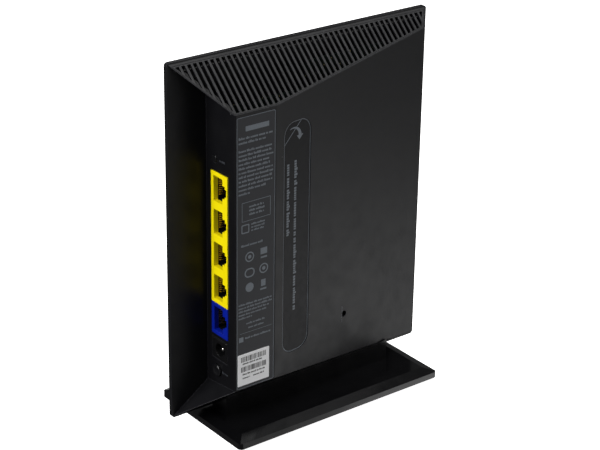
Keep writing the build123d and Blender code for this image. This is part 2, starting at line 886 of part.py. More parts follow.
wps_switch_face = port_face - wps_switch_back
with BuildPart() as wps_switch_body:
    with BuildSketch(port_plane(wps_switch_face - wps_switch_depth)):
        with Locations((board_rear, wps_spot[1])):
            Rectangle(wps_switch_height, wps_switch_width, align=(Align.MIN, Align.CENTER))
    extrude(amount=wps_switch_depth)
    with BuildSketch(port_plane(wps_switch_face)):
        with Locations(wps_spot):
            Circle(wps_plunger + plunger_gap)
    extrude(
        amount=-(wps_plunger_length - wps_plunger_proud + wps_travel + plunger_gap),
        mode=Mode.SUBTRACT,
    )
wps_switch_body.part.label = "wps_switch_body"
export_step(wps_switch_body.part, "parts/wps_switch_body.step")

wps_plunger_tip = wps_switch_face + wps_plunger_proud
with BuildPart() as wps_switch_plunger:
    with BuildSketch(port_plane(wps_plunger_tip)):
        with Locations(wps_spot):
            Circle(wps_plunger)
    extrude(amount=-wps_plunger_length)
wps_switch_plunger.part.label = "wps_switch_plunger"
export_step(wps_switch_plunger.part, "parts/wps_switch_plunger.step")

wps_button = push_button(wps_spot, wps_radius, wps_proud, wps_stem, wps_plunger_tip)
wps_button.part.label = "wps_button"
export_step(wps_button.part, "parts/wps_button.step")

with BuildPart() as reset_switch_body:
    with BuildSketch(across(board_rear)):
        with Locations((reset_x, reset_z)):
            Rectangle(tact_side, tact_side)
    extrude(amount=-tact_height)
    with BuildSketch(across(board_rear + tact_height)):
        with Locations((reset_x, reset_z)):
            Circle(tact_plunger + tact_gap)
    extrude(
        amount=tact_plunger_length - tact_plunger_proud + reset_travel + tact_gap,
        mode=Mode.SUBTRACT,
    )
reset_switch_body.part.label = "reset_switch_body"
export_step(reset_switch_body.part, "parts/reset_switch_body.step")

with BuildPart() as reset_plunger:
    with BuildSketch(across(board_rear + tact_height + tact_plunger_proud)):
        with Locations((reset_x, reset_z)):
            Circle(tact_plunger)
    extrude(amount=tact_plunger_length)
reset_plunger.part.label = "reset_plunger"
export_step(reset_plunger.part, "parts/reset_plunger.step")


# ================================================================== electronics on the board
def along(share):
    """Place along the board, as a share of its length from its port side."""
    return board_right - share * board_length


def up(share):
    """Place up the board, as a share of its height."""
    return board_bottom + share * board_height


def package(places, length, height, thickness, lift=0.0, bevel=package_bevel):
    """Flat packages that stand on the board's rear face, or lift above it."""
    with BuildPart() as packages:
        with BuildSketch(across(board_rear + lift)):
            with Locations(places):
                Rectangle(length, height)
        extrude(amount=-thickness)
        chamfer(packages.faces().group_by(Axis.Y)[-1].edges(), length=bevel)
    return packages


processor_spot = (along(0.6), up(0.58))
processor = package([processor_spot], processor_side, processor_side, processor_height)
processor.part.label = "processor"
export_step(processor.part, "parts/processor.step")

thermal_pad = package(
    [processor_spot], pad_side, pad_side, pad_height, lift=processor_height, bevel=pad_bevel
)
thermal_pad.part.label = "thermal_pad"
export_step(thermal_pad.part, "parts/thermal_pad.step")

# The fins reach towards the slanting rear wall, and stop short of it at the thin end
sink_foot = board_rear + processor_height + pad_height
sink_edge = processor_spot[0] - sink_side / 2
wall_inside = rear_face - (fold_x - sink_edge) * math.tan(slant) - wall / math.cos(slant)
fin_height = wall_inside - sink_gap - sink_base - sink_foot
with BuildPart() as heatsink:
    with BuildSketch(across(sink_foot)):
        with Locations(processor_spot):
            Rectangle(sink_side, sink_side)
    extrude(amount=-sink_base)
    with BuildSketch(across(sink_foot + sink_base)):
        with Locations(processor_spot):
            with GridLocations((sink_side - sink_fin) / (sink_fins - 1), 0, sink_fins, 1):
                Rectangle(sink_fin, sink_side)
    extrude(amount=-fin_height)
heatsink.part.label = "heatsink"
export_step(heatsink.part, "parts/heatsink.step")

switch_chip = package([(along(0.34), up(0.53))], switch_side, switch_side, chip_height)
switch_chip.part.label = "switch_chip"
export_step(switch_chip.part, "parts/switch_chip.step")

memory_chip = package([(along(0.6), up(0.37))], *memory_size, chip_height)
memory_chip.part.label = "memory_chip"
export_step(memory_chip.part, "parts/memory_chip.step")

flash_chip = package([(along(0.8), up(0.36))], *flash_size, flash_height)
flash_chip.part.label = "flash_chip"
export_step(flash_chip.part, "parts/flash_chip.step")

# Transformers stand in a row behind the sockets
transformer_x = socket_face - jack_depth - transformer_gap - transformer_width / 2
lan_transformers = package(
    [(transformer_x, up(0.5)), (transformer_x, up(0.67))],
    transformer_width,
    lan_transformer_length,
    transformer_height,
)
lan_transformers.part.label = "lan_transformers"
export_step(lan_transformers.part, "parts/lan_transformers.step")

wan_transformer = package(
    [(transformer_x, up(0.33))], transformer_width, wan_transformer_length, transformer_height
)
wan_transformer.part.label = "wan_transformer"
export_step(wan_transformer.part, "parts/wan_transformer.step")

inductors = package(
    [(along(0.46), up(0.2)), (along(0.56), up(0.2))],
    inductor_side,
    inductor_side,
    inductor_height,
    bevel=inductor_bevel,
)
inductors.part.label = "inductors"
export_step(inductors.part, "parts/inductors.step")

crystals = package([(along(0.8), up(0.5)), (along(0.42), up(0.45))], *crystal_size, crystal_height)
crystals.part.label = "crystals"
export_step(crystals.part, "parts/crystals.step")

low_shield_spot = (along(0.86), up(0.75))
radio_shield_low = package([low_shield_spot], *low_shield_size, shield_height, bevel=shield_bevel)
radio_shield_low.part.label = "radio_shield_low"
export_step(radio_shield_low.part, "parts/radio_shield_low.step")

high_shield_spot = (along(0.58), up(0.84))
radio_shield_high = package([high_shield_spot], *high_shield_size, shield_height, bevel=shield_bevel)
radio_shield_high.part.label = "radio_shield_high"
export_step(radio_shield_high.part, "parts/radio_shield_high.step")

with BuildPart() as capacitors:
    with BuildSketch(across(board_rear)):
        with Locations([(along(0.24), up(0.12)), (along(0.24), up(0.22)), (along(0.35), up(0.2))]):
            Circle(capacitor_radius)
    extrude(amount=-capacitor_height)
    fillet(capacitors.faces().group_by(Axis.Y)[-1].edges(), radius=capacitor_round)
capacitors.part.label = "capacitors"
export_step(capacitors.part, "parts/capacitors.step")

with BuildPart() as status_leds:
    with BuildSketch(across(board_front)):
        with Locations(light_middle):
            with GridLocations(light_pitch, 0, light_count, 1):
                Rectangle(led_size, led_size / 2)
    extrude(amount=led_height)
status_leds.part.label = "status_leds"
export_step(status_leds.part, "parts/status_leds.step")


# ================================================================== antennas
def antenna_board(spot, length, height):
    """Printed antenna on its pads, with its rear face level with the main board's."""
    with BuildPart() as antenna:
        with BuildSketch(across(board_rear)):
            with Locations(spot):
                Rectangle(length, height)
        extrude(amount=antenna_thickness)
    return antenna


def antenna_lead(points):
    """Coaxial lead that lies along the boards, with its plug on the main board at the first point."""
    level = board_rear + lead_radius
    start = Vector(points[0][0], level, points[0][1])
    ahead = Vector(points[1][0], level, points[1][1]) - start
    with BuildPart() as lead:
        with BuildLine() as path:
            FilletPolyline(*[(x, level, z) for x, z in points], radius=lead_bend)
        with BuildSketch(Plane(origin=start, z_dir=ahead)):
            Circle(lead_radius)
        sweep(path=path.wires()[0])
        with BuildSketch(across(board_rear)):
            with Locations(points[0]):
                Circle(lead_plug_radius)
        extrude(amount=-lead_plug_height)
    return lead


antenna_board_top = antenna_board(top_antenna_spot, antenna_length, antenna_width)
antenna_board_top.part.label = "antenna_board_top"
export_step(antenna_board_top.part, "parts/antenna_board_top.step")

antenna_board_side = antenna_board(side_antenna_spot, antenna_width, antenna_length)
antenna_board_side.part.label = "antenna_board_side"
export_step(antenna_board_side.part, "parts/antenna_board_side.step")

top_lead_start = (high_shield_spot[0] + high_shield_size[0] / 2 + lead_clearance, high_shield_spot[1])
top_lead_end = (antenna_middle + antenna_length / 2 - lead_clearance, top_antenna_spot[1])
top_lead_step = (top_lead_end[1] - top_lead_start[1]) / 3
antenna_lead_top = antenna_lead(
    [
        top_lead_start,
        (top_lead_start[0], top_lead_start[1] + top_lead_step),
        (top_lead_end[0], top_lead_end[1] - top_lead_step),
        top_lead_end,
    ]
)
antenna_lead_top.part.label = "antenna_lead_top"
export_step(antenna_lead_top.part, "parts/antenna_lead_top.step")

side_lead_start = (
    board_left + lead_clearance,
    low_shield_spot[1] - low_shield_size[1] / 2 - lead_clearance,
)
side_lead_step = (side_lead_start[0] - side_antenna_spot[0]) / 2
# Its end is near the antenna's middle, with room for both bends below it
side_lead_end = (
    side_antenna_spot[0],
    max(side_antenna_spot[1] - lead_clearance, side_lead_start[1] + 2 * side_lead_step),
)
antenna_lead_side = antenna_lead(
    [
        side_lead_start,
        (side_lead_start[0] - side_lead_step, side_lead_start[1]),
        (side_lead_end[0], side_lead_start[1] + side_lead_step),
        side_lead_end,
    ]
)
antenna_lead_side.part.label = "antenna_lead_side"
export_step(antenna_lead_side.part, "parts/antenna_lead_side.step")


# ================================================================== screws
def cross_recess(radius):
    """Cross-shaped driver recess."""
    Rectangle(recess_span * radius, recess_arm * radius)
    Rectangle(recess_arm * radius, recess_span * radius)


with BuildPart() as housing_screws:
    with BuildSketch(across(panel_front + screw_skin + screw_tip_gap)):
        with Locations(screw_spots):
            Circle(screw_radius)
    extrude(amount=-(board_rear + screw_seat - panel_front - screw_skin - screw_tip_gap))
    with BuildSketch(across(board_rear + screw_seat)):
        with Locations(screw_spots):
            Circle(screw_head)
    extrude(amount=-screw_head_height)
    with BuildSketch(across(board_rear + screw_seat + screw_head_height)):
        with Locations(screw_spots):
            cross_recess(screw_head)
    extrude(amount=screw_head_height / 2, mode=Mode.SUBTRACT)
housing_screws.part.label = "housing_screws"
export_step(housing_screws.part, "parts/housing_screws.step")

# ================================================================== stand
pocket_length = stand_width - 2 * stand_rim
pocket_depth = stand_depth - 2 * stand_rim
boss_spots = [
    (0, pocket_depth / 2 - stand_boss_inset),
    (0, stand_boss_inset - pocket_depth / 2),
    (pocket_length / 2 - stand_boss_inset, 0),
    (stand_boss_inset - pocket_length / 2, 0),
]
neck_near = flange_back + neck_front
neck_far = neck_near + neck_depth
neck_middle = (neck_near + neck_far) / 2
cover_bottom = stand_bottom
cover_top = stand_bottom + bottom_cover


def neck_top(y):
    """Height of the neck's sloping top, just under the housing's bottom slope."""
    return panel_bottom + rim + bottom_slope * (y - flange_back) - neck_gap


with BuildPart() as stand_base:
    with BuildSketch(Plane.XY.offset(stand_bottom)):
        RectangleRounded(stand_width, stand_depth, stand_corner)
    extrude(amount=stand_height)
    with BuildSketch(Plane.YZ):
        with Locations((0, stand_bottom)):
            Rectangle(stand_depth, stand_edge, align=(Align.CENTER, Align.MIN))
        with BuildLine():
            Polyline(
                (-stand_depth / 2, stand_bottom + stand_edge),
                (stand_depth / 2, stand_bottom + stand_edge),
                (stand_depth / 2 - stand_bevel, stand_top),
                (stand_bevel - stand_depth / 2, stand_top),
                close=True,
            )
        make_face()
    extrude(amount=stand_width, both=True, mode=Mode.INTERSECT)
    with BuildSketch(Plane.XZ):
        with Locations((0, stand_bottom)):
            Rectangle(stand_width, stand_edge, align=(Align.CENTER, Align.MIN))
        with BuildLine():
            Polyline(
                (-stand_width / 2, stand_bottom + stand_edge),
                (stand_width / 2, stand_bottom + stand_edge),
                (stand_width / 2 - stand_side_bevel, stand_top),
                (stand_side_bevel - stand_width / 2, stand_top),
                close=True,
            )
        make_face()
    extrude(amount=stand_depth, both=True, mode=Mode.INTERSECT)
    with BuildSketch(Plane.XY.offset(stand_bottom)):
        RectangleRounded(pocket_length, pocket_depth, stand_corner)
    extrude(amount=pocket_top - stand_bottom, mode=Mode.SUBTRACT)
    with BuildSketch(Plane.XY.offset(cover_top)):
        with Locations(boss_spots):
            Circle(stand_boss)
    extrude(amount=pocket_top - cover_top)
    with BuildSketch(Plane.XY.offset(cover_top)):
        with Locations(boss_spots):
            Circle(screw_pilot)
    extrude(amount=pocket_top - cover_top + stand_top_wall / 2, mode=Mode.SUBTRACT)
    with BuildSketch(Plane.XY.offset(pocket_top)):
        with Locations((0, neck_middle)):
            with GridLocations(neck_screw_spacing, 0, 3, 1):
                Circle(screw_hole)
    extrude(amount=stand_top_wall, mode=Mode.SUBTRACT)
stand_base.part.label = "stand_base"
export_step(stand_base.part, "parts/stand_base.step")

with BuildPart() as neck_hollow:
    with BuildSketch(Plane.YZ.offset(neck_shift + neck_wall - neck_width / 2)):
        with BuildLine():
            Polyline(
                (neck_near, stand_top - neck_wall),
                (neck_far, stand_top - neck_wall),
                (neck_far, neck_top(neck_far)),
                (neck_near, neck_top(neck_near)),
                close=True,
            )
        make_face()
        offset(amount=-neck_wall, kind=Kind.INTERSECTION)
    extrude(amount=neck_width - 2 * neck_wall)
    with BuildSketch(Plane.XY.offset(stand_top)):
        with Locations((0, neck_middle)):
            with GridLocations(neck_screw_spacing, 0, 3, 1):
                Circle(boss_radius)
    extrude(amount=neck_depth, mode=Mode.SUBTRACT)

with BuildPart() as stand_neck:
    with BuildSketch(Plane.YZ.offset(neck_shift - neck_width / 2)):
        with BuildLine():
            Polyline(
                (neck_near, stand_top),
                (neck_far, stand_top),
                (neck_far, neck_top(neck_far)),
                (neck_near, neck_top(neck_near)),
                close=True,
            )
        make_face()
    extrude(amount=neck_width)
    add(neck_hollow.part, mode=Mode.SUBTRACT)
    with BuildSketch(Plane.XY.offset(stand_top)):
        with Locations((0, tongue_middle)):
            with GridLocations(tongue_spacing, 0, 2, 1):
                Rectangle(tongue_width, tongue_thickness)
    extrude(amount=panel_bottom + tongue_top - stand_top)
    chamfer(stand_neck.faces().sort_by(Axis.Z)[-2:].edges().filter_by(Axis.X), length=tongue_bevel)
    with BuildSketch(Plane.XY.offset(stand_top)):
        with Locations((0, neck_middle)):
            with GridLocations(neck_screw_spacing, 0, 3, 1):
                Circle(screw_pilot)
    extrude(amount=neck_screw_bite + screw_tip_gap, mode=Mode.SUBTRACT)
stand_neck.part.label = "stand_neck"
export_step(stand_neck.part, "parts/stand_neck.step")

with BuildPart() as neck_screws:
    with BuildSketch(Plane.XY.offset(pocket_top)):
        with Locations((0, neck_middle)):
            with GridLocations(neck_screw_spacing, 0, 3, 1):
                Circle(screw_radius)
    extrude(amount=stand_top_wall + neck_screw_bite)
    with BuildSketch(Plane.XY.offset(pocket_top)):
        with Locations((0, neck_middle)):
            with GridLocations(neck_screw_spacing, 0, 3, 1):
                Circle(neck_screw_head)
    extrude(amount=-neck_screw_head_height)
    with BuildSketch(Plane.XY.offset(pocket_top - neck_screw_head_height)):
        with Locations((0, neck_middle)):
            with GridLocations(neck_screw_spacing, 0, 3, 1):
                cross_recess(neck_screw_head)
    extrude(amount=neck_screw_head_height / 2, mode=Mode.SUBTRACT)
neck_screws.part.label = "neck_screws"
export_step(neck_screws.part, "parts/neck_screws.step")

with BuildPart() as stand_weight:
    with BuildSketch(Plane.XY.offset(cover_top)):
        Rectangle(pocket_length - 2 * weight_side_gap, pocket_depth - 2 * weight_edge_gap)
        with Locations((0, neck_middle)):
            with GridLocations(neck_screw_spacing, 0, 3, 1):
                Circle(neck_screw_head + neck_screw_clearance, mode=Mode.SUBTRACT)
    extrude(amount=weight_thickness)
stand_weight.part.label = "stand_weight"
export_step(stand_weight.part, "parts/stand_weight.step")

foot_spacing = (stand_width - 2 * foot_inset, stand_depth - 2 * foot_inset)
with BuildPart() as stand_bottom_cover:
    with BuildSketch(Plane.XY.offset(cover_bottom)):
        RectangleRounded(
            pocket_length - 2 * stand_gap, pocket_depth - 2 * stand_gap, stand_corner - stand_gap
        )
    extrude(amount=bottom_cover)
    with BuildSketch(Plane.XY.offset(cover_bottom)):
        with Locations(boss_spots):
            Circle(screw_hole)
    extrude(amount=bottom_cover, mode=Mode.SUBTRACT)
    with BuildSketch(Plane.XY.offset(cover_bottom)):
        with Locations(boss_spots):
            Circle(stand_screw_head + stand_gap)
    extrude(amount=stand_screw_head_height, mode=Mode.SUBTRACT)
    with BuildSketch(Plane.XY.offset(cover_bottom)):
        with GridLocations(*foot_spacing, 2, 2):
            Circle(foot_radius + stand_gap)
    extrude(amount=foot_sunk, mode=Mode.SUBTRACT)
stand_bottom_cover.part.label = "stand_bottom_cover"
export_step(stand_bottom_cover.part, "parts/stand_bottom_cover.step")

with BuildPart() as bottom_cover_screws:
    with BuildSketch(Plane.XY.offset(cover_bottom)):
        with Locations(boss_spots):
            Circle(stand_screw_head)
    extrude(amount=stand_screw_head_height)
    with BuildSketch(Plane.XY.offset(cover_bottom + stand_screw_head_height)):
        with Locations(boss_spots):
            Circle(screw_radius)
    extrude(amount=pocket_top - cover_bottom - stand_screw_head_height)
    with BuildSketch(Plane.XY.offset(cover_bottom)):
        with Locations(boss_spots):
            cross_recess(stand_screw_head)
    extrude(amount=stand_screw_head_height / 2, mode=Mode.SUBTRACT)
bottom_cover_screws.part.label = "bottom_cover_screws"
export_step(bottom_cover_screws.part, "parts/bottom_cover_screws.step")

with BuildPart() as stand_feet:
    with BuildSketch(Plane.XY):
        with GridLocations(*foot_spacing, 2, 2):
            Circle(foot_radius)
    extrude(amount=foot_proud + foot_sunk)
    chamfer(stand_feet.faces().group_by(Axis.Z)[0].edges(), length=foot_bevel)
stand_feet.part.label = "stand_feet"
export_step(stand_feet.part, "parts/stand_feet.step")
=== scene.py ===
import json
import math
import random
from collections import namedtuple

import bmesh
import bpy
from mathutils import Matrix, Vector


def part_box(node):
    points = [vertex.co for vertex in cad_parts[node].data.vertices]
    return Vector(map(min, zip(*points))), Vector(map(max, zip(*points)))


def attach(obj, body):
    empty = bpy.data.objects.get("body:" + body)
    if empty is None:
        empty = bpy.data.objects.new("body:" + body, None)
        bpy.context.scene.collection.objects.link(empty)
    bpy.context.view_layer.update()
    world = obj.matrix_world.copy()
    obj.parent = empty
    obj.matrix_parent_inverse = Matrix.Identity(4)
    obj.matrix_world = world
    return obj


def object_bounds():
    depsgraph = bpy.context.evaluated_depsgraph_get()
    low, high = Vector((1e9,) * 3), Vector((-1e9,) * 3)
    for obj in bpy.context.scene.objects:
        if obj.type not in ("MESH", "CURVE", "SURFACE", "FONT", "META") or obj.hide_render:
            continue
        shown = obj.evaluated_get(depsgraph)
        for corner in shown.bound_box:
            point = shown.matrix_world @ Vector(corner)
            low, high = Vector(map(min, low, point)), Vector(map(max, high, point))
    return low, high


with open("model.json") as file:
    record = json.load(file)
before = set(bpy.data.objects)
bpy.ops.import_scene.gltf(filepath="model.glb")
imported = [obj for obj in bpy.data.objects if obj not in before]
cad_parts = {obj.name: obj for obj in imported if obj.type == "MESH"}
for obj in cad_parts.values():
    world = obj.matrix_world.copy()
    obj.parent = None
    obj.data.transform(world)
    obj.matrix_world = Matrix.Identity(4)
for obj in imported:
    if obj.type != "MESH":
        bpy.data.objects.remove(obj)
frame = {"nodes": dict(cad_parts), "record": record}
cad_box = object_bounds()
nodes = frame["nodes"]
MM = 0.001

# An upright wireless router on its stand, seen from its rear and port side. Places in the studio
# are metres. Sizes in the print layouts are millimetres on the face that they are printed on.
low, high = (Vector(corner) for corner in cad_box)
middle = (low + high) / 2


# ------------------------------------------------------------------ shader nodes
class Surface:
    """Node tree of one material, with its Principled shader and short ways to add nodes.

    Textures are scaled per metre, so a scale of 1000 gives features of about a millimetre.
    """

    def __init__(self, name):
        self.material = bpy.data.materials.new(name)
        self.material.use_nodes = True
        self.tree = self.material.node_tree
        self.shader = self.tree.nodes["Principled BSDF"]
        self.place = self.add("ShaderNodeTexCoord").outputs["Object"]

    def add(self, kind, **inputs):
        node = self.tree.nodes.new(kind)
        for key, value in inputs.items():
            node.inputs[key.replace("_", " ")].default_value = value
        return node

    def link(self, output, socket):
        self.tree.links.new(output, socket)

    def stretched(self, scale):
        """The object's coordinates, scaled apart along X, Y and Z."""
        mapping = self.add("ShaderNodeMapping")
        mapping.inputs["Scale"].default_value = scale
        self.link(self.place, mapping.inputs["Vector"])
        return mapping.outputs["Vector"]

    def noise(self, scale, detail=3.0, place=None):
        node = self.add("ShaderNodeTexNoise", Scale=scale, Detail=detail)
        self.link(place or self.place, node.inputs["Vector"])
        return node.outputs["Fac"]

    def cells(self, scale, feature="F1", place=None):
        node = self.add("ShaderNodeTexVoronoi", Scale=scale)
        node.feature = feature
        self.link(place or self.place, node.inputs["Vector"])
        return node.outputs["Distance"]

    def spread(self, value, low, high, start=0.3, end=0.7):
        """Maps a texture's middle range onto low to high."""
        node = self.add("ShaderNodeMapRange")
        for key, number in (("From Min", start), ("From Max", end), ("To Min", low), ("To Max", high)):
            node.inputs[key].default_value = number
        self.link(value, node.inputs["Value"])
        return node.outputs["Result"]

    def maths(self, operation, first, second):
        node = self.add("ShaderNodeMath")
        node.operation = operation
        for socket, value in zip(node.inputs, (first, second)):
            if isinstance(value, (int, float)):
                socket.default_value = value
            else:
                self.link(value, socket)
        return node.outputs["Value"]

    def blend(self, share, first, second):
        """Mixes two colours, each a tuple or another node's output."""
        node = self.add("ShaderNodeMix")
        node.data_type = "RGBA"
        self.link(share, node.inputs["Factor"])
        for key, value in (("A", first), ("B", second)):
            socket = [s for s in node.inputs if s.name == key and s.type == "RGBA"][0]
            if isinstance(value, tuple):
                socket.default_value = (*value, 1.0)
            else:
                self.link(value, socket)
        return [s for s in node.outputs if s.type == "RGBA"][0]

    def edges(self, radius):
        """Share of edge under each point, from how far a rounded normal turns from the true one."""
        rounded = self.add("ShaderNodeBevel", Radius=radius)
        geometry = self.add("ShaderNodeNewGeometry")
        dot = self.add("ShaderNodeVectorMath")
        dot.operation = "DOT_PRODUCT"
        self.link(rounded.outputs["Normal"], dot.inputs[0])
        self.link(geometry.outputs["Normal"], dot.inputs[1])
        share = self.spread(dot.outputs["Value"], 1.0, 0.0, start=0.75, end=0.99)
        return share, rounded.outputs["Normal"]

    def varied(self, texture, colour, darkest, lightest):
        """The colour, from its darkest to its lightest share along a texture."""
        share = self.spread(texture, 0.0, 1.0)
        return self.blend(share, shade(colour, darkest), shade(colour, lightest))

    def colour(self, output):
        self.link(output, self.shader.inputs["Base Color"])

    def roughness(self, texture, low, high):
        self.link(self.spread(texture, low, high), self.shader.inputs["Roughness"])

    def bump(self, height, strength, distance, normal=None):
        """Relief along a texture, its distance in mm."""
        node = self.add("ShaderNodeBump", Strength=strength, Distance=distance * MM)
        self.link(height, node.inputs["Height"])
        if normal:
            self.link(normal, node.inputs["Normal"])
        self.link(node.outputs["Normal"], self.shader.inputs["Normal"])

    def set(self, key, value):
        self.shader.inputs[key].default_value = value


def shade(colour, share):
    return tuple(min(1.0, channel * share) for channel in colour)


# ------------------------------------------------------------------ materials
EDGE_RADIUS = 0.35


def moulded(name, colour, rough, grain=0.3, depth=0.02, edge_highlight=1.5, mottle=0.08, shine=0.5):
    """Moulded plastic: spark-eroded grain of the given size and depth in mm, and edges made paler by a
    painted highlight.
    """
    surface = Surface(name)
    body = surface.varied(surface.noise(28.0, 4.0), colour, 1.0 - mottle, 1.0 + mottle)
    rounded = None
    # Painted highlight: the colour turns paler where the bevel finds an edge, standing in for light
    # caught on rounded edges.
    if edge_highlight:
        edge, rounded = surface.edges(EDGE_RADIUS * MM)
        body = surface.blend(edge, body, shade(colour, edge_highlight))
    surface.colour(body)
    surface.roughness(surface.noise(140.0, 5.0), rough - 0.05, rough + 0.05)
    pits = surface.noise(1.0 / (grain * MM), 2.0)
    surface.bump(pits, 0.5, depth, rounded)
    surface.set("Specular IOR Level", shine)
    return surface.material


def film(name, colour, rough, shine):
    """Printed plastic film, lightly rippled where it is stuck down, with a fine satin tooth."""
    surface = Surface(name)
    surface.colour(surface.varied(surface.noise(55.0), colour, 0.94, 1.06))
    surface.roughness(surface.noise(420.0, 4.0), rough - 0.05, rough + 0.05)
    wave = surface.noise(70.0, 1.0)
    tooth = surface.maths("MULTIPLY", surface.noise(5200.0, 2.0), 0.06)
    surface.bump(surface.maths("ADD", wave, tooth), 0.5, 0.02)
    surface.set("Specular IOR Level", shine)
    return surface.material


def paper(name, colour):
    """Coated label paper with faint fibres."""
    surface = Surface(name)
    fibres = surface.noise(900.0, 6.0, surface.stretched((1.0, 1.0, 0.35)))
    surface.colour(surface.varied(fibres, colour, 0.97, 1.0))
    surface.roughness(surface.noise(260.0), 0.42, 0.55)
    surface.bump(fibres, 0.25, 0.02)
    return surface.material


def ink(name, colour):
    """Printed ink with a slightly uneven film."""
    surface = Surface(name)
    cover = surface.noise(1600.0)
    surface.colour(surface.varied(cover, colour, 0.86, 1.08))
    surface.roughness(cover, 0.45, 0.58)
    surface.bump(cover, 0.2, 0.01)
    return surface.material


def metal(name, colour, rough, grain=(1.0, 1.0, 12.0)):
    """Plated or rolled metal with fine drawn lines and a little tarnish."""
    surface = Surface(name)
    lines = surface.noise(420.0, 4.0, surface.stretched(grain))
    surface.colour(surface.varied(surface.noise(90.0, 4.0), colour, 0.82, 1.05))
    surface.roughness(lines, rough - 0.08, rough + 0.10)
    surface.bump(lines, 0.3, 0.01)
    surface.set("Metallic", 1.0)
    return surface.material


def circuit(name, mask, track, via):
    """Solder mask over copper: paler tracks along rows and small round vias."""
    surface = Surface(name)
    rows = surface.cells(430.0, "DISTANCE_TO_EDGE", surface.stretched((1.0, 0.05, 0.22)))
    columns = surface.cells(390.0, "DISTANCE_TO_EDGE", surface.stretched((0.22, 0.05, 1.0)))
    tracks = surface.maths("MINIMUM", rows, columns)
    copper = surface.spread(tracks, 1.0, 0.0, start=0.05, end=0.09)
    vias = surface.spread(surface.cells(520.0), 1.0, 0.0, start=0.10, end=0.16)
    surface.colour(surface.blend(vias, surface.blend(copper, mask, track), via))
    surface.roughness(surface.noise(800.0), 0.28, 0.42)
    surface.bump(copper, 0.4, 0.03)
    return surface.material


def package(name, colour, rough):
    """Moulded epoxy with a coarse dull grain and a painted highlight along its edges."""
    return moulded(name, colour, rough, grain=0.12, depth=0.015, edge_highlight=1.8, mottle=0.12, shine=0.4)


def frosted(name, colour):
    """Clear plastic with a frosted face, which carries the status lights' glow."""
    surface = Surface(name)
    frost = surface.noise(2400.0, 2.0)
    surface.colour(surface.varied(frost, colour, 0.9, 1.0))
    surface.roughness(frost, 0.35, 0.5)
    surface.bump(frost, 0.3, 0.02)
    surface.set("Transmission Weight", 0.6)
    return surface.material


def rubber(name, colour, rough=0.75):
    """Soft moulded rubber with a dusty bloom."""
    surface = Surface(name)
    surface.colour(surface.varied(surface.noise(110.0, 5.0), colour, 0.85, 1.35))
    surface.roughness(surface.noise(700.0), rough - 0.1, rough + 0.1)
    surface.bump(surface.noise(1900.0), 0.5, 0.04)
    return surface.material


# Colours are linear, and so low because the plastics are near black. A rough value is the middle of
# the material's range, and the edge value is how many times paler a painted highlight makes the
# edges, with 0 for none.
plastics = {
    "housing_plastic": dict(colour=(0.0046, 0.0046, 0.0056), rough=0.40, edge_highlight=9.0, shine=0.25),
    "front_plastic": dict(colour=(0.0030, 0.0030, 0.0034), rough=0.22, edge_highlight=0, shine=0.3),
    "grille_plastic": dict(colour=(0.0075, 0.0075, 0.0088), rough=0.42, edge_highlight=1.8, shine=0.3),
    "yellow_plastic": dict(colour=(1.0, 0.82, 0.002), rough=0.34, edge_highlight=1.02, mottle=0.02),
    "blue_plastic": dict(colour=(0.001, 0.012, 0.30), rough=0.34, edge_highlight=1.4, mottle=0.05),
    "inlet_plastic": dict(colour=(0.005, 0.005, 0.0055), rough=0.34, shine=0.3),
    "button_plastic": dict(colour=(0.007, 0.007, 0.008), rough=0.22, depth=0.008),
    "switch_plastic": dict(colour=(0.020, 0.020, 0.022), rough=0.42),
    "stand_plastic": dict(
        colour=(0.0026, 0.0026, 0.0030), rough=0.17, depth=0.004, edge_highlight=0, shine=0.45
    ),
}
metals = {
    "gold_plate": dict(colour=(0.95, 0.68, 0.25), rough=0.22),
    "plated_steel": dict(colour=(0.80, 0.80, 0.78), rough=0.26),
    "sink_aluminium": dict(colour=(0.55, 0.56, 0.58), rough=0.36, grain=(12.0, 1.0, 1.0)),
    "capacitor_can": dict(colour=(0.66, 0.66, 0.68), rough=0.28, grain=(1.0, 12.0, 1.0)),
    "screw_steel": dict(colour=(0.20, 0.20, 0.21), rough=0.34),
}
films = {
    "label_film": dict(colour=(0.021, 0.022, 0.026), rough=0.36, shine=0.28),
    "mount_film": dict(colour=(0.0056, 0.0056, 0.0068), rough=0.42, shine=0.16),
}
packages = {
    "chip_package": dict(colour=(0.016, 0.016, 0.018), rough=0.55),
    "ferrite": dict(colour=(0.060, 0.060, 0.064), rough=0.65),
}
rubbers = {
    "pad_rubber": dict(colour=(0.35, 0.42, 0.55)),
    "lead_jacket": dict(colour=(0.014, 0.014, 0.015), rough=0.5),
    "foot_rubber": dict(colour=(0.020, 0.020, 0.020)),
}
clear_plastics = {
    "light_guide": dict(colour=(0.80, 0.83, 0.86)),
    "led_body": dict(colour=(0.90, 0.88, 0.78)),
}
papers = {"sticker_paper": dict(colour=(0.95, 0.95, 0.96))}
boards = {
    "circuit_board": dict(
        mask=(0.0012, 0.0030, 0.0020), track=(0.003, 0.008, 0.005), via=(0.62, 0.50, 0.24)
    ),
}
inks = {
    "print_ink": dict(colour=(0.150, 0.172, 0.198)),
    "dark_ink": dict(colour=(0.02, 0.02, 0.022)),
    "faint_ink": dict(colour=(0.036, 0.040, 0.048)),
}
families = (
    (moulded, plastics),
    (metal, metals),
    (film, films),
    (package, packages),
    (rubber, rubbers),
    (frosted, clear_plastics),
    (paper, papers),
    (circuit, boards),
    (ink, inks),
)
finishes = {}
for make, family in families:
    for finish_name, values in family.items():
        finishes[finish_name] = make(finish_name, **values)

slot_of = {part["node"]: part["material_slot"] for part in frame["record"]["subparts"]}
for node_name, node_object in nodes.items():
    for material_slot in node_object.material_slots:
        material_slot.material = finishes[slot_of[node_name]]


# ------------------------------------------------------------------ faces that carry print
REAR = Vector((0, 1, 0))
PORT_SIDE = Vector((1, 0, 0))
UP = Vector((0, 0, 1))
Face = namedtuple("Face", "centre right up normal width height", defaults=(0.0, 0.0))


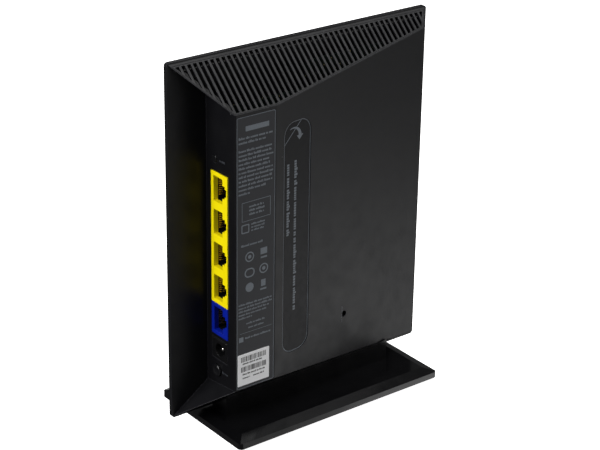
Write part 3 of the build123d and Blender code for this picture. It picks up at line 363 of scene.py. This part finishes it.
def face_of(node, outwards):
    """The flat face of a CAD node that points outwards, as its reader sees it, with its size."""
    mesh = nodes[node].data
    facing = [p for p in mesh.polygons if p.normal.dot(outwards) > 0.9]
    normal = sum((p.normal * p.area for p in facing), Vector()).normalized()
    right = UP.cross(normal)
    rows = [[v.co.dot(axis) for v in mesh.vertices] for axis in (right, UP, normal)]
    across, upwards = ((min(row) + max(row)) / 2 for row in rows[:2])
    centre = right * across + UP * upwards + normal * max(rows[2])
    width, height = (max(row) - min(row) for row in rows[:2])
    return Face(centre, right, UP, normal, width / MM, height / MM)


def outermost(face, node):
    """The same face, moved along its normal to the outermost point of a CAD node."""
    reach = max(vertex.co.dot(face.normal) for vertex in nodes[node].data.vertices)
    return face._replace(centre=face.centre + face.normal * (reach - face.centre.dot(face.normal)))


def largest_face(node, outwards):
    """The plane with the most area among a CAD node's faces that point outwards."""
    areas = {}
    for polygon in nodes[node].data.polygons:
        if polygon.normal.dot(outwards) > 0.999:
            level = round(polygon.center.dot(outwards), 4)
            areas[level] = areas.get(level, 0.0) + polygon.area
    level = max(areas, key=areas.get)
    return Face(outwards * level, UP.cross(outwards), UP, outwards)


def on_face(face, node):
    """Where a CAD node's middle lies on a face, in mm."""
    nearest, farthest = (Vector(corner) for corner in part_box(node))
    offset = (nearest + farthest) / 2 - face.centre
    return offset.dot(face.right) / MM, offset.dot(face.up) / MM


# ------------------------------------------------------------------ outlines of the print
CIRCLE_SIDES = 24
CORNER_STEPS = 8


def bar(u, v, width, height):
    """Rectangle centred on u, v."""
    half, rise = width / 2, height / 2
    return [(u - half, v - rise), (u + half, v - rise), (u + half, v + rise), (u - half, v + rise)]


def stroke(start, end, width):
    """Straight line of the given width."""
    start, end = Vector(start), Vector(end)
    run = end - start
    side = Vector((-run.y, run.x)).normalized() * (width / 2)
    return [tuple(corner) for corner in (start - side, end - side, end + side, start + side)]


def polar(centre, radius, angle):
    return (centre[0] + radius * math.cos(angle), centre[1] + radius * math.sin(angle))


def disc(u, v, radius):
    return [polar((u, v), radius, 2 * math.pi * i / CIRCLE_SIDES) for i in range(CIRCLE_SIDES)]


def band(inner, outer):
    """Closed strip between two closed outlines with the same number of points, as quadrilaterals."""
    count = len(inner)
    return [
        [inner[i], outer[i], outer[(i + 1) % count], inner[(i + 1) % count]] for i in range(count)
    ]


def ring(u, v, radius, line):
    return band(disc(u, v, radius - line), disc(u, v, radius))


def round_corners(width, height, radius):
    """Outline of a rounded rectangle centred on 0, 0."""
    points = []
    for turn, (along, rise) in enumerate(((1, 1), (-1, 1), (-1, -1), (1, -1))):
        centre = (along * (width / 2 - radius), rise * (height / 2 - radius))
        for i in range(CORNER_STEPS + 1):
            points.append(polar(centre, radius, (turn + i / CORNER_STEPS) * math.pi / 2))
    return points


def frame_line(width, height, radius, line):
    """Rounded rectangle drawn as a line, centred on 0, 0."""
    return band(
        round_corners(width - 2 * line, height - 2 * line, max(radius - line, 0.05)),
        round_corners(width, height, radius),
    )


def moved(outlines, du, dv):
    return [[(u + du, v + dv) for u, v in outline] for outline in outlines]


def turned(outlines):
    """Turned a quarter clockwise about 0, 0, so that rows run down the face."""
    return [[(v, -u) for u, v in outline] for outline in outlines]


def greek_row(length, size, draw):
    """Row of blocks that stands for small print: no letters, only word-like gaps and heights."""
    blocks = []
    u = 0.0
    while u < length:
        for _ in range(draw.randint(2, 7)):
            width = size * draw.uniform(0.35, 0.6)
            tall = size * draw.choice((0.7, 0.7, 0.7, 1.0))
            blocks.append(bar(u + width / 2, tall / 2, width, tall))
            u += width + 0.14 * size
        u += 0.4 * size
    return [block for block in blocks if block[1][0] <= length]


def greek_rows(places, size, draw):
    """Rows of small print: each place is its start, its baseline and its length."""
    rows = []
    for start, baseline, length in places:
        rows += moved(greek_row(length, size, draw), start, baseline)
    return rows


# ------------------------------------------------------------------ print
# Each layout has its own seed, so that its rows stay as they are when another one changes.
EDGE_GAP = 0.1


def label_print(label):
    """The rating label: a border, paragraphs of small print and plain marks in place of symbols.

    Depths are measured down from the label's top edge.
    """
    draw = random.Random(11)
    margin = 1.0
    left = margin - label.width / 2
    full = label.width - 2 * margin
    top = label.height / 2

    def down(depth):
        return top - depth

    def row(start, depth, length, size):
        return moved(greek_row(length, size, draw), start, down(depth))

    def paragraph(start, depth, pitch, lengths, size):
        rows = []
        for i, length in enumerate(lengths):
            rows += row(start, depth + pitch * i, length, size)
        return rows

    # Border, name bar and the two paragraphs under it.
    marks = frame_line(label.width - EDGE_GAP, label.height - EDGE_GAP, radius=0.8, line=0.24)
    marks += [bar(0.6, down(5.6), 12.4, 2.3)]
    marks += paragraph(left, 10.2, 2.0, (full, 0.8 * full), 1.1)
    shares = (0.97, 0.95, 1.0, 0.88, 0.9, 1.0, 1.0, 0.97, 0.97, 0.8, 0.35)
    marks += paragraph(left, 16.0, 1.98, [share * full for share in shares], 1.05)

    # Box with rows inside it, then a small box with rows beside it and one row below.
    marks += moved(frame_line(15.4, 9.0, radius=0.2, line=0.22), 0.2, down(44.0))
    marks += paragraph(-3.6, 42.4, 1.8, 3 * [8.2], 1.0)
    marks += moved(frame_line(4.2, 4.2, radius=0.6, line=0.5), left + 3.6, down(52.0))
    marks += paragraph(left + 6.8, 50.8, 1.5, 3 * [7.4], 0.9)
    marks += row(left + 1.4, 60.4, 12.0, 1.0)

    # Two columns of plain symbols: ringed dots, a rounded box, a disc, and squares over bars.
    near, far = -3.3, 4.4
    for u, depth in ((near, 65.9), (far, 73.4)):
        marks += ring(u, down(depth), radius=2.4, line=0.55)
        marks += [disc(u, down(depth), radius=0.9)]
    marks += [bar(far, down(64.9), 3.6, 3.0), bar(far, down(67.9), 3.4, 0.8)]
    marks += moved(frame_line(5.4, 4.4, radius=2.1, line=0.6), near, down(73.6))
    marks += [disc(near, down(80.7), radius=2.2)]
    marks += [bar(far - 0.2, down(80.4), 2.4, 3.2), bar(far - 0.2, down(83.4), 3.4, 0.8)]

    # Closing paragraph, two centred rows, a rule and a square with a row beside it.
    shares = (1, 1, 0.9, 0.84, 0.4)
    marks += paragraph(left, 88.8, 1.65, [share * full for share in shares], 0.9)
    marks += row(-5.0, 98.6, 11.0, 0.9)
    marks += row(-4.0, 100.8, 9.0, 0.9)
    marks += [bar(0.3, down(102.6), full - 1.0, 0.16)]
    marks += [bar(left + 1.4, down(105.6), 2.4, 2.4)]
    marks += row(left + 3.6, 105.8, full - 4.6, 1.0)
    return marks


def sticker_print():
    """The serial sticker: two bar codes of random bars and lines of small print."""
    draw = random.Random(23)
    code_start, code_end = -6.8, 6.9
    code_height = 2.6
    thin, middling, thick = 0.14, 0.28, 0.42
    marks = []
    for level in (5.2, 0.2):
        u = code_start
        while u < code_end:
            width = draw.choice((thin, thin, middling, thick))
            marks.append(bar(u + width / 2, level, width, code_height))
            u += width + draw.choice((thin, middling, middling, thick))
    rows = [(-6.0, 2.6, 11.0), (-6.0, -2.7, 12.6), (-6.0, -4.6, 4.4), (-0.2, -4.6, 6.0)]
    marks += greek_rows(rows, 0.8, draw)
    return marks


def peel_arrow(centre, radius, sweep):
    """Curved arrow that widens from its tail to its flat head, clockwise to the right."""
    steps = 14
    tail, growth = 0.12, 0.8
    rims = []
    for i in range(steps + 1):
        share = i / steps
        angle = math.radians(sweep - sweep * share)
        half = tail + growth * share
        rims.append((polar(centre, radius - half, angle), polar(centre, radius + half, angle)))
    marks = [[rims[i][0], rims[i][1], rims[i + 1][1], rims[i + 1][0]] for i in range(steps)]
    level = centre[1]
    marks += [[(-0.3, level + 0.1), (3.7, level + 0.3), (1.3, level - 2.0)]]
    return marks


def mount_print(mount):
    """The wall-mount film: its outline, two rows down it, a peel line and a peel arrow."""
    draw = random.Random(37)
    top = mount.height / 2
    marks = frame_line(mount.width - EDGE_GAP, mount.height - EDGE_GAP, radius=6.3, line=0.36)
    for column, depth, length in ((-1.6, 18.6, 73.4), (-6.2, 19.4, 36.0)):
        marks += moved(turned(greek_row(length, 1.9, draw)), column, top - depth)
    marks += [stroke((-8.0, top - 10.1), (2.4, top - 0.4), 0.32)]
    marks += peel_arrow((-2.6, top - 7.4), radius=4.3, sweep=118.0)
    return marks


def wall_print(wall):
    """Faint row of print beside the pinhole, and two ticks beside the film."""
    draw = random.Random(41)
    across, rise = on_face(wall, "reset_plunger")
    marks = moved(turned(greek_row(8.4, 1.1, draw)), across - 2.9, rise + 4.4)
    for u, v in ((-9.6, 41.6), (9.4, -41.5)):
        marks.append(bar(u, v, 0.9, 0.3))
    return marks


def port_print(side):
    """Faint rows of print beside the two round buttons."""
    draw = random.Random(43)
    marks = []
    for node, gap in (("wps_button", 1.6), ("power_button", 1.4)):
        across, rise = on_face(side, node)
        marks += greek_rows([(across + gap + 1.7, rise - 0.4, 4.6)], 1.0, draw)
    return marks


PRINT_HEIGHT = 0.03
PRINT_SINK = 0.01


def raised(name, face, outlines, finish):
    """One piece of many low closed prisms, each with an outline in mm from the face's middle."""
    mesh = bmesh.new()
    for outline in outlines:
        rings = []
        for lift in (-PRINT_SINK, PRINT_HEIGHT):
            rings.append(
                [
                    mesh.verts.new(
                        face.centre + (face.right * u + face.up * v + face.normal * lift) * MM
                    )
                    for u, v in outline
                ]
            )
        below, above = rings
        mesh.faces.new(above)
        mesh.faces.new(below[::-1])
        count = len(outline)
        for i in range(count):
            j = (i + 1) % count
            mesh.faces.new((below[i], below[j], above[j], above[i]))
    bmesh.ops.recalc_face_normals(mesh, faces=mesh.faces)
    data = bpy.data.meshes.new(name)
    mesh.to_mesh(data)
    mesh.free()
    piece = bpy.data.objects.new(name, data)
    bpy.context.collection.objects.link(piece)
    data.materials.append(finishes[finish])
    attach(piece, "router_body")


label_face = face_of("rating_label", REAR)
sticker_face = face_of("serial_sticker", REAR)
mount_face = face_of("wall_mount_film", REAR)
wall_face = outermost(mount_face, "rear_cover")
port_face = largest_face("rear_cover", PORT_SIDE)
raised("label_marks", label_face, label_print(label_face), "print_ink")
raised("sticker_marks", sticker_face, sticker_print(), "dark_ink")
raised("mount_marks", mount_face, mount_print(mount_face), "print_ink")
raised("wall_marks", wall_face, wall_print(wall_face), "faint_ink")
raised("port_marks", port_face, port_print(port_face), "faint_ink")


# ------------------------------------------------------------------ studio
def pale_floor(reach):
    """Plain glowing white floor under the object, which neither lights it nor shows in it."""
    surface = Surface("pale_floor")
    tone = surface.spread(surface.noise(3.0), 0.0, 1.0)
    white = surface.blend(tone, (0.99, 0.99, 0.99), (1.0, 1.0, 1.0))
    surface.colour(white)
    surface.link(white, surface.shader.inputs["Emission Color"])
    surface.set("Emission Strength", 1.0)
    surface.roughness(surface.noise(40.0), 0.65, 0.8)
    data = bpy.data.meshes.new("floor")
    corners = [(-reach, -reach, 0.0), (reach, -reach, 0.0), (reach, reach, 0.0), (-reach, reach, 0.0)]
    data.from_pydata(corners, [], [(0, 1, 2, 3)])
    data.materials.append(surface.material)
    floor = bpy.data.objects.new("floor", data)
    bpy.context.collection.objects.link(floor)
    floor.visible_diffuse = False
    floor.visible_glossy = False
    floor.visible_shadow = False


def soft_light(name, place, size, power):
    """Square area light that faces the object's middle."""
    data = bpy.data.lights.new(name, "AREA")
    data.shape = "SQUARE"
    data.size = size
    data.energy = power
    light = bpy.data.objects.new(name, data)
    light.location = place
    light.rotation_euler = (Vector(place) - middle).to_track_quat("Z", "Y").to_euler()
    bpy.context.collection.objects.link(light)


def camera(azimuth, elevation, distance, roll, lens, off_middle):
    """Camera turned from +Y towards +X and up, looking past the object's middle by off_middle."""
    turn, rise = math.radians(azimuth), math.radians(elevation)
    towards = Vector(
        (math.sin(turn) * math.cos(rise), math.cos(turn) * math.cos(rise), math.sin(rise))
    )
    data = bpy.data.cameras.new("camera")
    data.lens = lens
    data.sensor_width = 36.0
    data.clip_start = 0.01
    seen = bpy.data.objects.new("camera", data)
    aim = towards.to_track_quat("Z", "Y").to_matrix() @ Matrix.Rotation(math.radians(roll), 3, "Z")
    seen.matrix_world = Matrix.Translation(middle + off_middle + towards * distance) @ aim.to_4x4()
    bpy.context.collection.objects.link(seen)
    bpy.context.scene.camera = seen


def room(strength):
    """Even white light from all around."""
    world = bpy.data.worlds.new("studio")
    world.use_nodes = True
    background = world.node_tree.nodes["Background"]
    background.inputs["Color"].default_value = (1.0, 1.0, 1.0, 1.0)
    background.inputs["Strength"].default_value = strength
    bpy.context.scene.world = world


pale_floor(reach=14.0)
camera(
    azimuth=37.88,
    elevation=24.0,
    distance=0.8388,
    roll=0.85,
    lens=110.8,
    off_middle=Vector((6.1, 5.05, 0.15)) * MM,
)
# Key and top light the port side and the slopes. Rear, glow and haze stand where the rear face
# mirrors them, so its sheen grows towards its foot. Front lights the front cover.
soft_light("key", (1.5, 0.0, 1.0), size=1.2, power=36.0)
soft_light("top", (-0.5, 0.4, 1.7), size=1.5, power=22.0)
soft_light("rear", (-1.5, 1.5, 0.3), size=1.5, power=4.0)
soft_light("glow", (-0.36, 0.20, -0.26), size=0.36, power=0.50)
soft_light("haze", (-0.60, 0.87, -0.39), size=0.8, power=1.0)
soft_light("front", (-0.3, -1.7, 0.5), size=1.2, power=4.0)
room(strength=0.09)
bpy.context.scene.view_settings.view_transform = "Standard"
bpy.context.scene.view_settings.look = "None"
